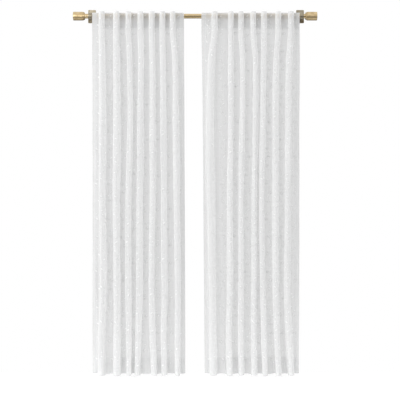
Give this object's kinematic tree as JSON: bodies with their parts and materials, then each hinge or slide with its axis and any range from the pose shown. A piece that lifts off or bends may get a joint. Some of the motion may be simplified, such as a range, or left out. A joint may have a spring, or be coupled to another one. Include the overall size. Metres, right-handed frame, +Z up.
{
  "type": "sheer voile curtain pair on a rod with wall brackets",
  "caption": "Sheer voile back-tab curtain panels hung in soft vertical folds from a slim brass rod with drum finials and ring-arm wall brackets.",
  "frame": {"origin": "centre of the back face of the left wall plate, where it meets the wall", "axes": "+Z up, +X along the rod to the viewer's right, +Y into the wall; the room is at -Y"},
  "size_m": [1.442, 0.1718, 2.1695],
  "materials": {
    "voile": "sheer white voile with small white embroidered sprigs",
    "tab_voile": "the same voile, folded double for the tabs",
    "rod_brass": "satin warm brass",
    "bracket_brass": "satin brass, a little darker"
  },
  "bodies": {
    "root": {"left_panel": "voile", "right_panel": "voile", "left_tab_1": "tab_voile", "left_tab_2": "tab_voile", "left_tab_3": "tab_voile", "left_tab_4": "tab_voile", "left_tab_5": "tab_voile", "left_tab_6": "tab_voile", "left_tab_7": "tab_voile", "left_tab_8": "tab_voile", "right_tab_1": "tab_voile", "right_tab_2": "tab_voile", "right_tab_3": "tab_voile", "right_tab_4": "tab_voile", "right_tab_5": "tab_voile", "right_tab_6": "tab_voile", "right_tab_7": "tab_voile", "right_tab_8": "tab_voile", "rod": "rod_brass", "left_finial": "rod_brass", "right_finial": "rod_brass", "left_wall_plate": "bracket_brass", "right_wall_plate": "bracket_brass", "left_ring_arm": "bracket_brass", "right_ring_arm": "bracket_brass"}
  },
  "joints": []
}
